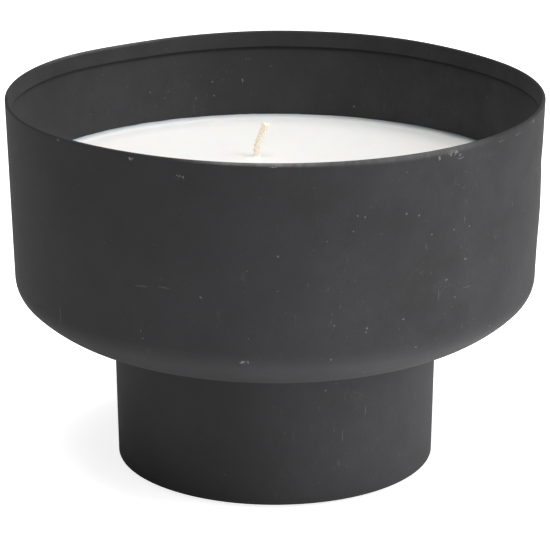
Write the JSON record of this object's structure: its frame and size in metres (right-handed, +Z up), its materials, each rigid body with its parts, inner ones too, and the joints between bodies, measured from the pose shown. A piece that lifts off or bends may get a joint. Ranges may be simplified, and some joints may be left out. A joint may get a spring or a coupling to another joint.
{
  "type": "footed candle bowl",
  "caption": "Round footed metal candle bowl with a folded-in rim, filled with poured wax around waxed cotton wicks that stand in tabs on its floor.",
  "frame": {"origin": "centre of the felt disc's underside, on the bowl's axis", "axes": "+Z up along the bowl's axis; +Y points away from the viewer, towards the back wick; +X to the viewer's right"},
  "size_m": [0.15, 0.15, 0.1064],
  "materials": {
    "black_coating": "matte",
    "weld_steel": "satin",
    "felt": "matte",
    "wax": "satin",
    "wick_cotton": "matte",
    "tinplate": "satin",
    "adhesive_pad": "matte"
  },
  "bodies": {
    "root": {"bowl": "black_coating", "foot_tube": "black_coating", "foot_weld": "weld_steel", "base_plate": "black_coating", "plate_tack_welds": "black_coating", "felt_disc": "felt", "wax": "wax", "wick_back": "wick_cotton", "wick_tab_back": "tinplate", "wick_sticker_back": "adhesive_pad", "wick_front_left": "wick_cotton", "wick_tab_front_left": "tinplate", "wick_sticker_front_left": "adhesive_pad", "wick_front_right": "wick_cotton", "wick_tab_front_right": "tinplate", "wick_sticker_front_right": "adhesive_pad"}
  },
  "joints": []
}
